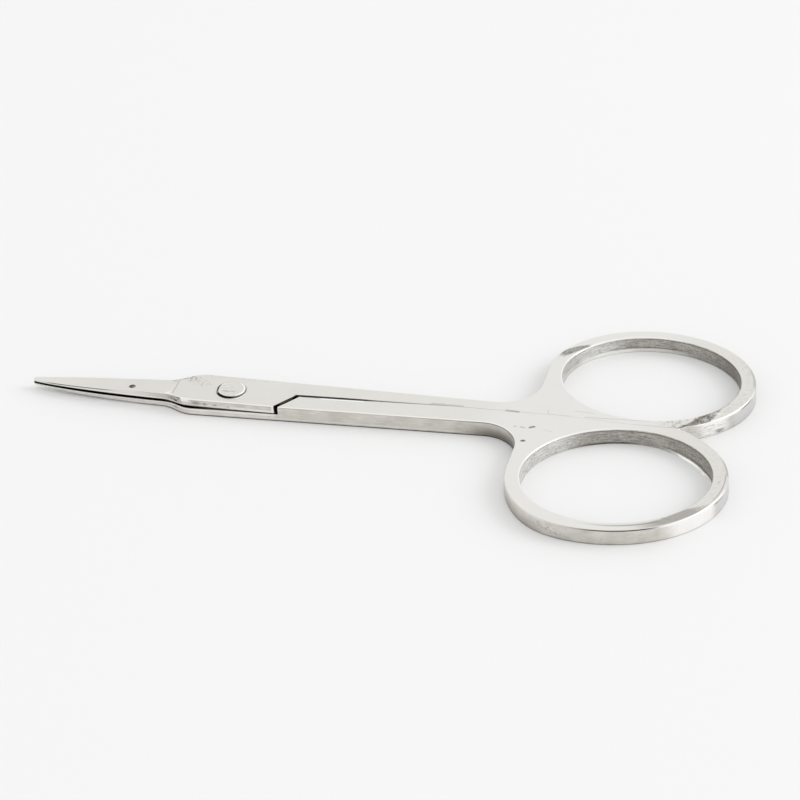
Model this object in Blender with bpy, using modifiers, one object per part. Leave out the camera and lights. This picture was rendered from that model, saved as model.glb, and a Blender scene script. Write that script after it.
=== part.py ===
"""Manicure scissors: two stainless steel forgings, one turned over on the other, on a rivet.

Metres, +Z up. The closed scissors lie flat on z = 0, with the pivot axis on x = y = 0, the blades towards
-X and the finger bows towards +X. The upper blade's bow lies at +Y, the lower blade's at -Y.
"""

import math

import bmesh
import bpy
from mathutils import Matrix, Vector
from mathutils.geometry import interpolate_bezier

MM = 0.001

# Stock and fits
THICKNESS = 2.1 * MM  # shank and bow, and both laps together
EDGE_ROUND = 0.2 * MM  # corner broken all round the outline
LAP_GAP = 0.12 * MM  # running gap between the two laps
SEAM_GAP = 0.12 * MM  # between the two shanks when closed
SHOULDER_GAP = 0.35 * MM  # from a shoulder to the end of the other half's lap

# Blade, measured from the pivot towards the tip
BLADE_LENGTH = 26.1 * MM
BLADE_ROOT = 8.4 * MM  # where the blade leaves the curve of the joint plate
BLADE_FRONT = 2.01 * MM  # from the middle line to the sides at -Y, at the root
BLADE_REAR = 1.31 * MM  # to the sides at +Y: the closed blades are ground to one outline
TIP_RADIUS = 0.42 * MM
TIP_SHIFT = 0.15 * MM  # both tips' centres, to -Y
TIP_HEIGHT = 0.45 * MM  # blade's flat above the plane between the halves, at the tip
CREASE = 7.0 * MM  # where the flat starts to fall towards the tip
HOLLOW = 0.07 * MM  # depth that the inner face is ground back
EDGE_LAND = 0.06 * MM  # width left square at the cutting edge
GRIND_ANGLE = math.radians(78)  # cutting bevel to the inner face
TEST_MARK_DIAMETER = 0.75 * MM  # hardness test dimple in the upper blade's flat
TEST_MARK_DEPTH = 0.12 * MM
TEST_MARK_FROM_PIVOT = 12.7 * MM
TEST_MARK_OFF_CENTRE = 0.85 * MM

# Joint plate and shank
PLATE_HALF_WIDTH = 3.0 * MM
PLATE_FRONT = 4.4 * MM  # from the pivot to the front end of the straight sides
LAP_END = 6.5 * MM  # from the pivot to the lap's end, at the plate's side
SHOULDER_REACH = 2.05 * MM  # how much further the lap's slanted end runs at the seam
SEAM_RISE = 0.75 * MM  # how far the seam leans to the upper blade's side
SEAM_CROTCH_RISE = 0.2 * MM  # where the two bows part
UPPER_SHANK_SIDE = 2.6 * MM  # from the middle line to the outer side, where the fillet begins
LOWER_SHANK_SIDE = 2.1 * MM
BOW_FILLET = 4.9 * MM

# Finger bows: ellipses whose long axes lean towards the seam at the far end
PIVOT_TO_END = 64.01 * MM  # both rims end here, in line
UPPER_BOW_LENGTH = 22.4 * MM
UPPER_BOW_WIDTH = 18.9 * MM
UPPER_BOW_LEAN = math.radians(10)
UPPER_BOW_WEB = 1.35 * MM  # from the middle line to the hole
LOWER_BOW_LENGTH = 22.8 * MM
LOWER_BOW_WIDTH = 19.8 * MM
LOWER_BOW_LEAN = math.radians(5.5)
LOWER_BOW_WEB = 1.0 * MM
RIM_SIDE = 1.55 * MM
RIM_END = 1.85 * MM

# Rivet
RIVET_DIAMETER = 2.2 * MM
RIVET_CLEARANCE = 0.05 * MM
HEAD_DIAMETER = 3.65 * MM
HEAD_SINK = 0.5 * MM  # depth of the countersink
HEAD_PROUD = 0.2 * MM  # upper head's rim above the plate
HEAD_CROWN = 0.06 * MM

# Facets
OVERRUN = 5 * MM  # how far a cutter runs past what it cuts
MERGE = 0.001 * MM
BOW_STEPS = 72
CURVE_STEPS = 10
ARC_STEPS = 8
ROUND_STEPS = 48
SMOOTH_ANGLE = math.radians(30)
FLAT_ANGLE = math.radians(0.05)


def collection(name):
    found = bpy.data.collections.new(name)
    bpy.context.scene.collection.children.link(found)
    return found


def steel(name, colour, roughness):
    material = bpy.data.materials.new(name)
    material.use_nodes = True
    shader = material.node_tree.nodes["Principled BSDF"]
    shader.inputs["Base Color"].default_value = (*colour, 1)
    shader.inputs["Metallic"].default_value = 1
    shader.inputs["Roughness"].default_value = roughness
    return material


def add_object(name, mesh, group, material=None):
    made = bpy.data.objects.new(name, mesh)
    group.objects.link(made)
    if material:
        mesh.materials.clear()
        mesh.materials.append(material)
    return made


def evaluated_mesh(source):
    """The mesh of an object or curve with its modifiers, welded, its flats made single faces."""
    bpy.context.view_layer.update()
    mesh = bpy.data.meshes.new_from_object(source.evaluated_get(bpy.context.evaluated_depsgraph_get()))
    mesh.transform(source.matrix_world)
    bpy.data.objects.remove(source)
    cage = bmesh.new()
    cage.from_mesh(mesh)
    bmesh.ops.remove_doubles(cage, verts=cage.verts, dist=MERGE)
    bmesh.ops.dissolve_limit(cage, angle_limit=FLAT_ANGLE, verts=cage.verts, edges=cage.edges)
    cage.to_mesh(mesh)
    cage.free()
    return mesh


def as_cutter(made):
    made.hide_render = True
    made.display_type = "WIRE"
    return made


def cut(body, cutter):
    boolean = body.modifiers.new(cutter.name, "BOOLEAN")
    boolean.operation = "DIFFERENCE"
    boolean.solver = "EXACT"
    boolean.object = cutter


def flat_mesh(name, outlines, bottom, top, group, rounding=0):
    """Closed outlines in plan, filled between two heights, with their edges rounded inwards."""
    curve = bpy.data.curves.new(name, "CURVE")
    curve.dimensions = "2D"
    curve.fill_mode = "BOTH"
    curve.extrude = (top - bottom) / 2 - rounding
    curve.bevel_depth = rounding
    curve.bevel_resolution = 1
    curve.offset = -rounding
    for outline in outlines:
        spline = curve.splines.new("POLY")
        spline.points.add(len(outline) - 1)
        spline.use_cyclic_u = True
        for point, (x, y) in zip(spline.points, outline):
            point.co = (x, y, 0, 1)
    drawn = add_object(name, curve, group)
    drawn.location.z = (top + bottom) / 2
    return evaluated_mesh(drawn)


def turned_mesh(name, profile, group):
    """A profile of (radius, height), from its top to its foot, turned about the pivot axis."""
    mesh = bpy.data.meshes.new(name)
    cage = bmesh.new()
    points = [cage.verts.new((radius, 0, height)) for radius, height in profile]
    for first, second in zip(points, points[1:]):
        cage.edges.new((first, second))
    cage.to_mesh(mesh)
    cage.free()
    turned = add_object(name, mesh, group)
    screw = turned.modifiers.new("Turn", "SCREW")
    screw.steps = screw.render_steps = ROUND_STEPS
    screw.use_merge_vertices = True
    screw.merge_threshold = MERGE
    return evaluated_mesh(turned)


def smooth(mesh):
    mesh.shade_smooth()
    mesh.set_sharp_from_angle(angle=SMOOTH_ANGLE)


def bezier(start, start_handle, end_handle, end):
    knots = [Vector((*knot, 0)) for knot in (start, start_handle, end_handle, end)]
    return [tuple(point.xy) for point in interpolate_bezier(*knots, CURVE_STEPS + 1)]


def bent(start, end, span_shares, rise_shares):
    """A curve between two points, its handles at shares of the way along and across."""
    span, rise = end[0] - start[0], end[1] - start[1]
    handles = [
        (start[0] + span * along, start[1] + rise * across)
        for along, across in zip(span_shares, rise_shares)
    ]
    return bezier(start, *handles, end)


def mirrored(outline):
    """An outline turned over about the X axis, its order kept anticlockwise."""
    return [(x, -y) for x, y in reversed(outline)]


def ellipse(centre, half_length, half_width, lean, start, end, steps):
    """Points at even angles on a leaning ellipse, both ends included."""
    turn = Matrix.Rotation(lean, 2)
    points = []
    for step in range(steps + 1):
        angle = start + (end - start) * step / steps
        x, y = turn @ Vector((half_length * math.cos(angle), half_width * math.sin(angle)))
        points.append((centre[0] + x, centre[1] + y))
    return points


def reach(half_length, half_width, lean):
    """How far a leaning ellipse reaches from its centre along X and along Y."""
    along = math.hypot(half_length * math.cos(lean), half_width * math.sin(lean))
    across = math.hypot(half_length * math.sin(lean), half_width * math.cos(lean))
    return along, across


class Half:
    """What differs between the halves, each drawn with its bow and cutting edge at +Y."""

    def __init__(self, length, width, lean, web, shank_side, turned):
        self.hole = (length / 2, width / 2)
        self.rim = (length / 2 + RIM_END, width / 2 + RIM_SIDE)
        self.lean = -lean
        self.centre = (PIVOT_TO_END - reach(*self.rim, lean)[0], web + reach(*self.hole, lean)[1])
        self.shank_side = shank_side
        self.turned = turned  # -1 on the half that is turned over


UPPER = Half(UPPER_BOW_LENGTH, UPPER_BOW_WIDTH, UPPER_BOW_LEAN, UPPER_BOW_WEB, UPPER_SHANK_SIDE, turned=1)
LOWER = Half(LOWER_BOW_LENGTH, LOWER_BOW_WIDTH, LOWER_BOW_LEAN, LOWER_BOW_WEB, LOWER_SHANK_SIDE, turned=-1)
MIDDLE = THICKNESS / 2
LAP_FACE = MIDDLE + LAP_GAP / 2
INNER_FACE = LAP_FACE + HOLLOW


def blade_sides():
    """The closed blades' one outline: the straight rear side, the tip and the curved front side."""
    rear_angle, front_angle = math.radians(100), math.radians(235)
    even_shares = (1 / 3, 2 / 3)
    span_shares = (0.2, 0.6)
    rise_shares = (0.55, 0.92)
    centre = (TIP_RADIUS - BLADE_LENGTH, -TIP_SHIFT)
    tip = ellipse(centre, TIP_RADIUS, TIP_RADIUS, 0, rear_angle, front_angle, ARC_STEPS)
    rear = bent((-BLADE_ROOT, BLADE_REAR), tip[0], even_shares, even_shares)
    front = bent(tip[-1], (-BLADE_ROOT, -BLADE_FRONT), span_shares, rise_shares)
    return rear, tip, front


def blade_outline(half):
    """The blade from its root at +Y round the tip to its root at -Y."""
    rear, tip, front = blade_sides()
    outline = rear + tip[1:] + front[1:]
    return outline if half.turned == 1 else mirrored(outline)


def cutting_edge(half):
    """The cutting edge at +Y, from the root to the tip."""
    rear, _, front = blade_sides()
    return rear if half.turned == 1 else mirrored(front)


def plate_corner(root, side):
    """The curve from the blade's root to the straight side of the joint plate, at +Y or -Y."""
    span_shares = (0.45, 0.55)
    rise_shares = (0.08, 1)
    return bent(root, (-PLATE_FRONT, side * PLATE_HALF_WIDTH), span_shares, rise_shares)


def half_outline(half):
    """One half in plan, running past the seam, which is cut afterwards."""
    bow_left = half.centre[0] - reach(*half.rim, half.lean)[0]
    leftmost = math.pi - math.atan2(half.rim[1] * math.sin(half.lean), half.rim[0] * math.cos(half.lean))
    rim = ellipse(half.centre, *half.rim, half.lean, -math.pi / 2, leftmost, BOW_STEPS)
    fillet_centre = (bow_left - BOW_FILLET, half.shank_side + BOW_FILLET)
    fillet = ellipse(fillet_centre, BOW_FILLET, BOW_FILLET, 0, 0, -math.pi / 2, ARC_STEPS)
    blade = blade_outline(half)
    outline = blade + plate_corner(blade[-1], -1)[1:]
    outline += [(half.centre[0], -PLATE_HALF_WIDTH)]
    outline += rim + fillet
    outline += plate_corner(blade[0], 1)[:0:-1]
    return outline


def seam_cutter(half, group):
    """Everything beyond the seam, and beyond the lap's slanted end."""
    reach_shares = (0.36, 0.6, 0.74)
    start = LAP_END + SHOULDER_REACH
    far = half.centre[0] + half.rim[0]
    low = -PLATE_HALF_WIDTH - OVERRUN
    rises = (SEAM_RISE, SEAM_RISE, SEAM_CROTCH_RISE)
    seam = [(start, SEAM_GAP / 2)]
    seam += [
        (start + (PIVOT_TO_END - start) * share, SEAM_GAP / 2 + half.turned * rise)
        for share, rise in zip(reach_shares, rises)
    ]
    slope = SHOULDER_REACH / PLATE_HALF_WIDTH
    outline = [(LAP_END - OVERRUN * slope, low), (far + OVERRUN, low), (far + OVERRUN, seam[-1][1])]
    outline += seam[::-1]
    mesh = flat_mesh("seam_cut", [outline], -OVERRUN, THICKNESS + OVERRUN, group)
    return as_cutter(add_object("seam_cut", mesh, group))


def lap_cutter(group):
    """The lower layer, from past the tip back to the shoulder that faces the other half's lap."""
    slope = SHOULDER_REACH / PLATE_HALF_WIDTH
    back = LAP_END + SHOULDER_GAP
    wide = PLATE_HALF_WIDTH + OVERRUN
    outline = [
        (-BLADE_LENGTH - OVERRUN, -wide),
        (back + SHOULDER_REACH + wide * slope, -wide),
        (back - OVERRUN * slope, wide),
        (-BLADE_LENGTH - OVERRUN, wide),
    ]
    mesh = flat_mesh("lap_cut", [outline], -OVERRUN, LAP_FACE, group)
    return as_cutter(add_object("lap_cut", mesh, group))


def hollow_cutter(group):
    """The blade's inner face, ground back from the lap."""
    wide = PLATE_HALF_WIDTH + OVERRUN
    far = -BLADE_LENGTH - OVERRUN
    outline = [(far, -wide), (-CREASE, -wide), (-CREASE, wide), (far, wide)]
    mesh = flat_mesh("hollow_cut", [outline], -OVERRUN, INNER_FACE, group)
    return as_cutter(add_object("hollow_cut", mesh, group))


def flat_cutter(group):
    """The blade's flat, which falls from the crease to the tip."""
    fall = math.atan2(MIDDLE - TIP_HEIGHT, BLADE_LENGTH - CREASE)
    wide = PLATE_HALF_WIDTH + OVERRUN
    far = -BLADE_LENGTH - OVERRUN
    outline = [(far, -wide), (0, -wide), (0, wide), (far, wide)]
    mesh = flat_mesh("flat_cut", [outline], 0, THICKNESS + OVERRUN, group)
    cutter = as_cutter(add_object("flat_cut", mesh, group))
    cutter.rotation_euler = (0, -fall, 0)
    cutter.location = (-CREASE, 0, THICKNESS)
    return cutter


def bevel_cutter(half, group):
    """The ground bevel along the cutting edge at +Y, from the crease to past the tip."""
    run_out_share = 0.6
    edge = [Vector(point) for point in cutting_edge(half)]
    root, tip = edge[0], edge[-1]
    edge[0] = root + (root - edge[1]).normalized() * (BLADE_ROOT - CREASE)
    edge.append(tip + (tip - edge[-2]).normalized() * OVERRUN)
    wide = PLATE_HALF_WIDTH + OVERRUN
    mesh = bpy.data.meshes.new("bevel_cut")
    cage = bmesh.new()
    rings = []
    for height in (MIDDLE, THICKNESS + OVERRUN):
        inset = EDGE_LAND + (height - INNER_FACE) / math.tan(GRIND_ANGLE)
        ring = []
        for before, point, after in zip(edge[:1] + edge, edge, edge[1:] + edge[-1:]):
            along = (after - before).normalized()
            ring.append(point + Vector((-along.y, along.x)) * inset)
        ring += [Vector((ring[-1].x, wide)), Vector((ring[0].x + wide * run_out_share, wide))]
        rings.append([cage.verts.new((*point, height)) for point in ring])
        cage.faces.new(rings[-1])
    low, high = rings
    for i in range(len(low)):
        cage.faces.new((low[i - 1], low[i], high[i], high[i - 1]))
    bmesh.ops.recalc_face_normals(cage, faces=cage.faces)
    cage.to_mesh(mesh)
    cage.free()
    return as_cutter(add_object("bevel_cut", mesh, group))


def rivet_hole_cutter(group):
    """The countersunk hole through one half, its wide end at the outer face."""
    bore = RIVET_DIAMETER / 2 + RIVET_CLEARANCE
    mouth = HEAD_DIAMETER / 2 + RIVET_CLEARANCE
    profile = [
        (0, THICKNESS + OVERRUN),
        (mouth, THICKNESS + OVERRUN),
        (mouth, THICKNESS),
        (bore, THICKNESS - HEAD_SINK),
        (bore, -OVERRUN),
        (0, -OVERRUN),
    ]
    mesh = turned_mesh("rivet_hole_cut", profile, group)
    return as_cutter(add_object("rivet_hole_cut", mesh, group))


def test_mark_cutter(group):
    """A ball that leaves the hardness test's round dimple."""
    radius = (TEST_MARK_DIAMETER**2 / 4 + TEST_MARK_DEPTH**2) / (2 * TEST_MARK_DEPTH)
    fall = (MIDDLE - TIP_HEIGHT) / (BLADE_LENGTH - CREASE)
    flat = THICKNESS - fall * (TEST_MARK_FROM_PIVOT - CREASE)
    mesh = bpy.data.meshes.new("test_mark_cut")
    ball = bmesh.new()
    bmesh.ops.create_uvsphere(ball, u_segments=ROUND_STEPS // 2, v_segments=ROUND_STEPS // 2, radius=radius)
    ball.to_mesh(mesh)
    ball.free()
    cutter = as_cutter(add_object("test_mark_cut", mesh, group))
    cutter.location = (-TEST_MARK_FROM_PIVOT, -TEST_MARK_OFF_CENTRE, flat + radius - TEST_MARK_DEPTH)
    return cutter


def make_half(half, parts, cutters):
    """The mesh of one half: outline, seam, lap, blade grinding and rivet hole."""
    hole = ellipse(half.centre, *half.hole, half.lean, 0, math.tau, BOW_STEPS)[:-1]
    blank = flat_mesh("blank", [half_outline(half), hole], 0, THICKNESS, parts, EDGE_ROUND)
    body = add_object("blank", blank, parts)
    for make_cutter in (seam_cutter, bevel_cutter):
        cut(body, make_cutter(half, cutters))
    for make_cutter in (lap_cutter, hollow_cutter, flat_cutter, rivet_hole_cutter):
        cut(body, make_cutter(cutters))
    mesh = evaluated_mesh(body)
    smooth(mesh)
    return mesh


def make_rivet(parts):
    """Two countersunk heads on one shank: the upper one crowned and a little proud, the lower one flush."""
    head = HEAD_DIAMETER / 2
    shank = RIVET_DIAMETER / 2
    rim = THICKNESS + HEAD_PROUD
    crown_shares = ((0, 1), (0.35, 0.88), (0.65, 0.58), (0.92, 0))
    profile = [(head * across, rim + HEAD_CROWN * up) for across, up in crown_shares]
    profile += [
        (head, rim - HEAD_CROWN),
        (head, THICKNESS),
        (shank, THICKNESS - HEAD_SINK),
        (shank, HEAD_SINK),
        (head, 0),
        (0, 0),
    ]
    mesh = turned_mesh("pivot_rivet", profile, parts)
    smooth(mesh)
    return add_object("pivot_rivet", mesh, parts, steel("rivet_steel", (0.66, 0.65, 0.62), 0.3))


def main():
    for old in list(bpy.data.objects):
        bpy.data.objects.remove(old)
    parts = collection("manicure_scissors")
    cutters = collection("cutters")
    upper_mesh = make_half(UPPER, parts, cutters)
    upper = add_object("upper_blade", upper_mesh, parts, steel("upper_steel", (0.68, 0.66, 0.63), 0.35))
    cut(upper, test_mark_cutter(cutters))
    lower_mesh = make_half(LOWER, parts, cutters)
    lower = add_object("lower_blade", lower_mesh, parts, steel("lower_steel", (0.64, 0.62, 0.59), 0.35))
    lower.rotation_euler = (math.pi, 0, 0)
    lower.location = (0, 0, THICKNESS)
    make_rivet(parts)


main()
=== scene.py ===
"""Manicure scissors, closed and lying flat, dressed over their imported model."""

import math

import bmesh
import bpy
from mathutils import Matrix, Vector
from mathutils.geometry import interpolate_bezier


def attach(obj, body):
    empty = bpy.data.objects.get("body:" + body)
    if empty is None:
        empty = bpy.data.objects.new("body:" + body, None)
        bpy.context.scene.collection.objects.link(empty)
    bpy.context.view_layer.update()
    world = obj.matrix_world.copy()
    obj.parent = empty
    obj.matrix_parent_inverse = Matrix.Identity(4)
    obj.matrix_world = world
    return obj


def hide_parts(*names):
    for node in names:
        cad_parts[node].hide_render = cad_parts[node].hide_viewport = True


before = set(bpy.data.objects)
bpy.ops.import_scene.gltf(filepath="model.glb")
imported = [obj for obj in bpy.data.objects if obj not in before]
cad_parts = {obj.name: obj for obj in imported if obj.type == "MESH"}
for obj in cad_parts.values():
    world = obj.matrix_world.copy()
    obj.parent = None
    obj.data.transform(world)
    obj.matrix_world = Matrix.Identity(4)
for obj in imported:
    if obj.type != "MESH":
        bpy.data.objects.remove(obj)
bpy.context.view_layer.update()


# ---- Lower half --------------------------------------------------------------------------------
# One forging of stainless steel: blade, joint plate, shank and finger bow. The flats are satin
# ground, the sides left as trimmed. It lies at the bottom of the joint, with its bow on the near
# side and its cutting edge facing the camera.

MM = 0.001
THICK = 2.1
LAP_FACE = 1.11
BLADE_FACE = 1.18
CREASE = -7.0
TIP_END = -26.1
CUTTING_ANGLE = math.radians(78)
LAP_END = 6.3
SHOULDER = Vector((8.85, 0, 0))
FILLET = 4.9
COUNTERSINK = 1.875
BORE = 1.15


def pen_down(drawing, x, y):
    return drawing.verts.new((x, y, THICK))


def line_to(drawing, last, x, y):
    """A straight stroke from the last point."""
    point = bmesh.ops.extrude_vert_indiv(drawing, verts=[last])["verts"][0]
    bmesh.ops.translate(drawing, verts=[point], vec=Vector((x, y, THICK)) - last.co)
    return point


def curve_to(drawing, last, handles, x, y, steps):
    """A bent stroke: the handles are shares of the way along and across to its end."""
    start = last.co.copy()
    across = Vector((x, y, THICK)) - start
    knots = [start] + [start + Vector((across.x * u, across.y * v, 0)) for u, v in handles] + [start + across]
    for point in interpolate_bezier(*knots, steps + 1)[1:]:
        last = line_to(drawing, last, point.x, point.y)
    return last


def arc_to(drawing, last, centre, angle, steps):
    """A round stroke about a centre."""
    middle = Vector((*centre, THICK))
    swept = bmesh.ops.spin(drawing, geom=[last], cent=middle, axis=(0, 0, 1), angle=angle, steps=steps)
    return next(part for part in swept["geom_last"] if isinstance(part, bmesh.types.BMVert))


def leaning_oval(centre, half_length, half_width, lean):
    """The place that makes a leaning oval of a circle of radius 1."""
    return (
        Matrix.Translation((*centre, THICK))
        @ Matrix.Rotation(math.radians(lean), 4, "Z")
        @ Matrix.Diagonal((half_length, half_width, 1, 1))
    )


def oval_to(drawing, last, centre, half_length, half_width, lean, start, end, steps, fuller):
    """A stroke to and along part of a leaning oval, its angles in degrees. Fuller lists where it stands out:
    about which angle, over how many degrees, and by what share."""
    first = drawing.verts.new((math.cos(math.radians(start)), math.sin(math.radians(start)), 0))
    before = set(drawing.verts) - {first}
    end_point = arc_to(drawing, first, (0, 0), math.radians(end - start), steps)
    oval = [point for point in drawing.verts if point not in before]
    for angle, reach, share in fuller:
        for point in oval:
            off = (math.degrees(math.atan2(point.co.y, point.co.x)) - angle + 180) % 360 - 180
            point.co *= 1 + share * math.exp(-((off / reach) ** 2))
    bmesh.ops.transform(drawing, matrix=leaning_oval(centre, half_length, half_width, lean), verts=oval)
    drawing.edges.new((last, first))
    return end_point


def punch(drawing, centre, half_length, half_width, lean, segments):
    """The outline of an opening."""
    placed = leaning_oval(centre, half_length, half_width, lean)
    bmesh.ops.create_circle(drawing, cap_ends=False, radius=1, segments=segments, matrix=placed)


def forged_half(name, bow, shank_side, seam, cutting_edge_curved):
    """A half as the die leaves it and the grinder finishes it, drawn with its bow at +Y, in millimetres."""
    drawing = bmesh.new()

    # Blade: its straight rear side, round tip and curved front side, which swap when it is turned over.
    turn = -1 if cutting_edge_curved else 1
    root_high, root_low = (1.31, -2.01) if turn == 1 else (2.01, -1.31)
    tip = (-25.68, -0.15 * turn)
    tip_radius = 0.42
    from_angle, to_angle = (math.radians(angle) for angle in ((100, 235) if turn == 1 else (-235, -100)))
    tip_start = (tip[0] + tip_radius * math.cos(from_angle), tip[1] + tip_radius * math.sin(from_angle))
    first = pen = pen_down(drawing, -8.4, root_high)
    if turn == 1:
        pen = curve_to(drawing, pen, ((1 / 3, 1 / 3), (2 / 3, 2 / 3)), *tip_start, 24)
    else:
        pen = curve_to(drawing, pen, ((0.4, 0.08), (0.8, 0.45)), *tip_start, 24)
    pen = arc_to(drawing, pen, tip, to_angle - from_angle, 14)
    if turn == 1:
        pen = curve_to(drawing, pen, ((0.2, 0.55), (0.6, 0.92)), -8.4, root_low, 24)
    else:
        pen = curve_to(drawing, pen, ((1 / 3, 1 / 3), (2 / 3, 2 / 3)), -8.4, root_low, 24)

    # Joint plate, the lap's slanted end, the seam, the bow's rim, the fillet and the shank's outer side.
    pen = curve_to(drawing, pen, ((0.45, 0.08), (0.55, 1)), -4.4, -2.87, 14)
    pen = line_to(drawing, pen, LAP_END, -2.87)
    for x, y in seam:
        pen = line_to(drawing, pen, x, y)
    rim = (bow["half_length"] + 1.85, bow["half_width"] + 1.55)
    pen = oval_to(drawing, pen, bow["centre"], *rim, -bow["lean"], *bow["rim_angles"], 130, bow["fuller"])
    fillet = (pen.co.x - FILLET, shank_side + FILLET)
    pen = line_to(drawing, pen, pen.co.x, fillet[1])
    pen = arc_to(drawing, pen, fillet, math.radians(-90), 22)
    pen = line_to(drawing, pen, *((-3.7, 3.13) if turn == 1 else (-4.4, 3.2)))
    # The plate's other corner, drawn from its straight side to the blade's root.
    pen = curve_to(drawing, pen, ((0.45, 0), (0.55, 0.92)), -8.4, root_high, 14)
    bmesh.ops.remove_doubles(drawing, verts=[first, pen], dist=0.001)
    punch(drawing, bow["centre"], bow["half_length"], bow["half_width"], -bow["lean"], 160)
    punch(drawing, (0, 0), COUNTERSINK, COUNTERSINK, 0, 64)
    bmesh.ops.remove_doubles(drawing, verts=drawing.verts, dist=0.0005)
    bmesh.ops.triangle_fill(drawing, use_beauty=True, edges=drawing.edges, normal=(0, 0, 1))
    bmesh.ops.recalc_face_normals(drawing, faces=drawing.faces)

    # The shoulder's line, then both layers: the lap all over, and full thickness past the shoulder.
    past_shoulder = Vector((3.0, 2.25, 0)).normalized()
    everything = drawing.verts[:] + drawing.edges[:] + drawing.faces[:]
    bmesh.ops.bisect_plane(drawing, geom=everything, dist=1e-5, plane_co=SHOULDER, plane_no=past_shoulder)
    lap = bmesh.ops.extrude_face_region(drawing, geom=drawing.faces[:])["geom"]
    lap_points = [part for part in lap if isinstance(part, bmesh.types.BMVert)]
    bmesh.ops.translate(drawing, verts=lap_points, vec=(0, 0, LAP_FACE - THICK))
    bmesh.ops.recalc_face_normals(drawing, faces=drawing.faces)
    shank_under = [
        face for face in drawing.faces
        if face.calc_center_median().z < LAP_FACE + 0.001
        and (face.calc_center_median() - SHOULDER).dot(past_shoulder) > 0
    ]
    foot = bmesh.ops.extrude_face_region(drawing, geom=shank_under)["geom"]
    bmesh.ops.delete(drawing, geom=[face for face in shank_under if face.is_valid], context="FACES")
    foot_points = [part for part in foot if isinstance(part, bmesh.types.BMVert)]
    bmesh.ops.translate(drawing, verts=foot_points, vec=(0, 0, -LAP_FACE))
    bmesh.ops.recalc_face_normals(drawing, faces=drawing.faces)

    # Corners broken all round, except where the halves part.
    highest_seam = max(y for _, y in seam) + 0.02
    seam_end = seam[-1][0]

    def outer_corner(edge):
        middle = (edge.verts[0].co + edge.verts[1].co) / 2
        flat = sorted(abs(face.normal.z) for face in edge.link_faces)
        on_flat = abs(middle.z - THICK) < 0.001 or abs(middle.z) < 0.001
        parting = LAP_END - 0.01 < middle.x < seam_end and middle.y < highest_seam
        rivet_hole = middle.xy.length < 2
        return on_flat and flat[0] < 0.1 and flat[-1] > 0.9 and not parting and not rivet_hole

    corners = [edge for edge in drawing.edges if len(edge.link_faces) == 2 and outer_corner(edge)]
    high = [edge for edge in corners if edge.verts[0].co.z > THICK / 2]
    low = [edge for edge in corners if edge.verts[0].co.z <= THICK / 2]
    above, at_foot = 0.2, 0.07
    for edges, width in ((high, above if turn == 1 else at_foot), (low, at_foot if turn == 1 else above)):
        bmesh.ops.bevel(
            drawing, geom=edges, affect="EDGES", offset_type="OFFSET", offset=width, segments=4, profile=0.5,
            material=-1, clamp_overlap=False,
        )

    # The hole's wall stands in at its foot, round the far end.
    tilt = Matrix.Rotation(math.radians(bow["lean"]), 2, "Z")

    def in_hole(place):
        """Its place in the bow's hole, where 1 is the wall."""
        across = tilt @ (place.xy - Vector(bow["centre"]))
        return Vector((across.x / bow["half_length"], across.y / bow["half_width"]))

    def on_wall(place):
        return place.x > 35 and in_hole(place).length < 1.02

    foot_level = 0 if turn == 1 else THICK
    foot_band = 0.42
    wall = [face for face in drawing.faces if abs(face.normal.z) < 0.1 and on_wall(face.calc_center_median())]
    edges = {edge for face in wall for edge in face.edges}
    points = {point for face in wall for point in face.verts}
    bmesh.ops.bisect_plane(
        drawing, geom=wall + list(edges) + list(points), dist=1e-5, plane_co=(0, 0, abs(foot_level - foot_band)),
        plane_no=(0, 0, 1),
    )
    for point in drawing.verts:
        above_foot = abs(point.co.z - foot_level)
        if on_wall(point.co) and above_foot < foot_band + 0.03:
            way = in_hole(point.co)
            share = min(1, max(0, (way.x - 0.15) / 0.55)) * min(1, max(0, -way.y * 2.8 - 0.15))
            depth = 0.55 if above_foot > foot_band / 2 else 1
            inward = bow["foot_in"] * share * share * depth
            point.co.x -= inward * way.x
            point.co.y -= inward * way.y

    # The blade's flat falls from the crease to the tip.
    fall = math.atan2(0.6, CREASE - TIP_END)
    everything = drawing.verts[:] + drawing.edges[:] + drawing.faces[:]
    bmesh.ops.bisect_plane(
        drawing, geom=everything, dist=1e-5, plane_co=(CREASE, 0, THICK),
        plane_no=(-math.sin(fall), 0, math.cos(fall)), clear_outer=True,
    )
    open_edges = [edge for edge in drawing.edges if edge.is_boundary]
    bmesh.ops.triangle_fill(drawing, use_beauty=True, edges=open_edges, normal=(0, 0, 1))

    # Inner face hollowed towards the tip, and the cutting side ground back above the edge.
    for place in (CREASE, CREASE - 0.2):
        under = [face for face in drawing.faces if face.calc_center_median().z < LAP_FACE + 0.01]
        edges = {edge for face in under for edge in face.edges}
        points = {point for face in under for point in face.verts}
        bmesh.ops.bisect_plane(
            drawing, geom=list(points) + list(edges) + under, dist=1e-5, plane_co=(place, 0, 0), plane_no=(1, 0, 0)
        )
    hollowed = [
        point for point in drawing.verts if point.co.x < CREASE - 0.199 and point.co.z < LAP_FACE + 0.001
    ]
    bmesh.ops.translate(drawing, verts=hollowed, vec=(0, 0, BLADE_FACE - LAP_FACE))
    for point in drawing.verts:
        if point.co.x < CREASE and point.co.y > 0:
            share = min(1, (CREASE - point.co.x) / 1.5) * min(1, point.co.y / 0.25)
            point.co.y -= share * max(0, point.co.z - BLADE_FACE) / math.tan(CUTTING_ANGLE)

    # The last of the blade is drawn thin.
    for point in drawing.verts:
        share = max(0.0, (-20.0 - point.co.x) / (-20.0 - TIP_END)) ** 1.5 * (0.45 if turn == 1 else 0.25)
        point.co.z += share * (BLADE_FACE - point.co.z)

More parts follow.
